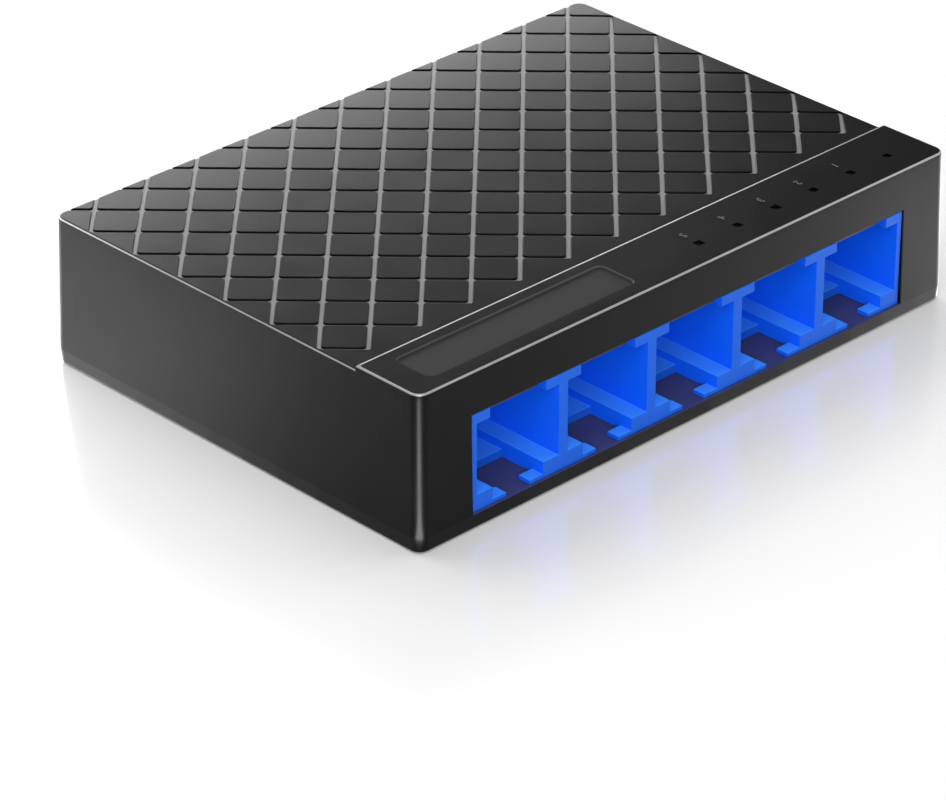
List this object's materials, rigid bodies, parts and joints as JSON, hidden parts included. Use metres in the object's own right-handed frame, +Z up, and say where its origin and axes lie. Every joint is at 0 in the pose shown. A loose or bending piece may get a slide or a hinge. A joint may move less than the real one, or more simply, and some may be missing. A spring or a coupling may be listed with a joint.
{
  "type": "desktop network switch",
  "caption": "Small desktop Ethernet switch: black case with a diamond-grooved roof, a row of blue modular sockets along one long side and indicator holes on a raised strip.",
  "frame": {"origin": "centre of the footprint, on the plane that the rubber feet stand on", "axes": "-Y out of the port face, +X along the port face to the power socket's end, +Z up"},
  "size_m": [0.086, 0.0614, 0.0196],
  "materials": {
    "case_black": "fine satin texture, satin black moulded plastic",
    "port_blue": "satin blue moulded plastic",
    "contact_gold": "gold-flashed spring bronze",
    "tinned": "tinned copper alloy",
    "board_green": "solder-masked laminate",
    "chip_black": "moulded package",
    "can_aluminium": "drawn aluminium can",
    "crystal_can": "nickel-plated can",
    "ferrite": "sintered ferrite",
    "chip_ceramic": "fired ceramic",
    "led_body": "clear epoxy lens on white base",
    "light_guide_smoke": "smoke-tinted clear plastic",
    "screw_steel": "black-zinc steel",
    "foot_rubber": "soft black rubber",
    "label_grey": "plain printed film, blank"
  },
  "bodies": {
    "switch": {"top_cover": "case_black", "bottom_cover": "case_black", "port_housing": "port_blue", "circuit_board": "board_green", "switch_chip": "chip_black", "switch_chip_leads": "tinned", "transformer_leads": "tinned", "crystal": "crystal_can", "input_capacitor": "can_aluminium", "output_capacitor": "can_aluminium", "power_inductor": "ferrite", "voltage_regulator": "chip_black", "input_diode": "chip_black", "chip_resistors": "chip_black", "chip_capacitors": "chip_ceramic", "light_guide": "light_guide_smoke", "power_socket_housing": "case_black", "power_centre_pin": "tinned", "power_sleeve_terminal": "tinned", "case_screws": "screw_steel", "board_screws": "screw_steel", "blank_label": "label_grey", "power_led": "led_body", "contact_carrier_1": "chip_black", "contact_tails_1": "contact_gold", "port_transformer_1": "chip_black", "port_led_1": "led_body", "contact_carrier_2": "chip_black", "contact_tails_2": "contact_gold", "port_transformer_2": "chip_black", "port_led_2": "led_body", "contact_carrier_3": "chip_black", "contact_tails_3": "contact_gold", "port_transformer_3": "chip_black", "port_led_3": "led_body", "contact_carrier_4": "chip_black", "contact_tails_4": "contact_gold", "port_transformer_4": "chip_black", "port_led_4": "led_body", "contact_carrier_5": "chip_black", "contact_tails_5": "contact_gold", "port_transformer_5": "chip_black", "port_led_5": "led_body", "rubber_foot_1": "foot_rubber", "rubber_foot_2": "foot_rubber", "rubber_foot_3": "foot_rubber", "rubber_foot_4": "foot_rubber"},
    "port_1_contacts": {"contact_springs_1": "contact_gold"},
    "port_2_contacts": {"contact_springs_2": "contact_gold"},
    "port_3_contacts": {"contact_springs_3": "contact_gold"},
    "port_4_contacts": {"contact_springs_4": "contact_gold"},
    "port_5_contacts": {"contact_springs_5": "contact_gold"},
    "power_sleeve_contact": {"power_sleeve_spring": "tinned"}
  },
  "joints": [
    {"name": "port_1_contact_flex", "type": "hinge", "parent": "switch", "child": "port_1_contacts", "pos_m": [-0.02771, -0.02743, 0.01227], "axis": [1, 0, 0], "range_deg": [0, 12], "stiffness_Nm_per_rad": 0.45},
    {"name": "port_2_contact_flex", "type": "hinge", "parent": "switch", "child": "port_2_contacts", "pos_m": [-0.01374, -0.02743, 0.01227], "axis": [1, 0, 0], "range_deg": [0, 12], "stiffness_Nm_per_rad": 0.45},
    {"name": "port_3_contact_flex", "type": "hinge", "parent": "switch", "child": "port_3_contacts", "pos_m": [0.00023, -0.02743, 0.01227], "axis": [1, 0, 0], "range_deg": [0, 12], "stiffness_Nm_per_rad": 0.45},
    {"name": "port_4_contact_flex", "type": "hinge", "parent": "switch", "child": "port_4_contacts", "pos_m": [0.01421, -0.02743, 0.01227], "axis": [1, 0, 0], "range_deg": [0, 12], "stiffness_Nm_per_rad": 0.45},
    {"name": "port_5_contact_flex", "type": "hinge", "parent": "switch", "child": "port_5_contacts", "pos_m": [0.02817, -0.02743, 0.01227], "axis": [1, 0, 0], "range_deg": [0, 12], "stiffness_Nm_per_rad": 0.45},
    {"name": "power_sleeve_flex", "type": "hinge", "parent": "switch", "child": "power_sleeve_contact", "pos_m": [0.0339, 0.0025, 0.00835], "axis": [0, 1, 0], "range_deg": [0, 3], "stiffness_Nm_per_rad": 0.26}
  ]
}
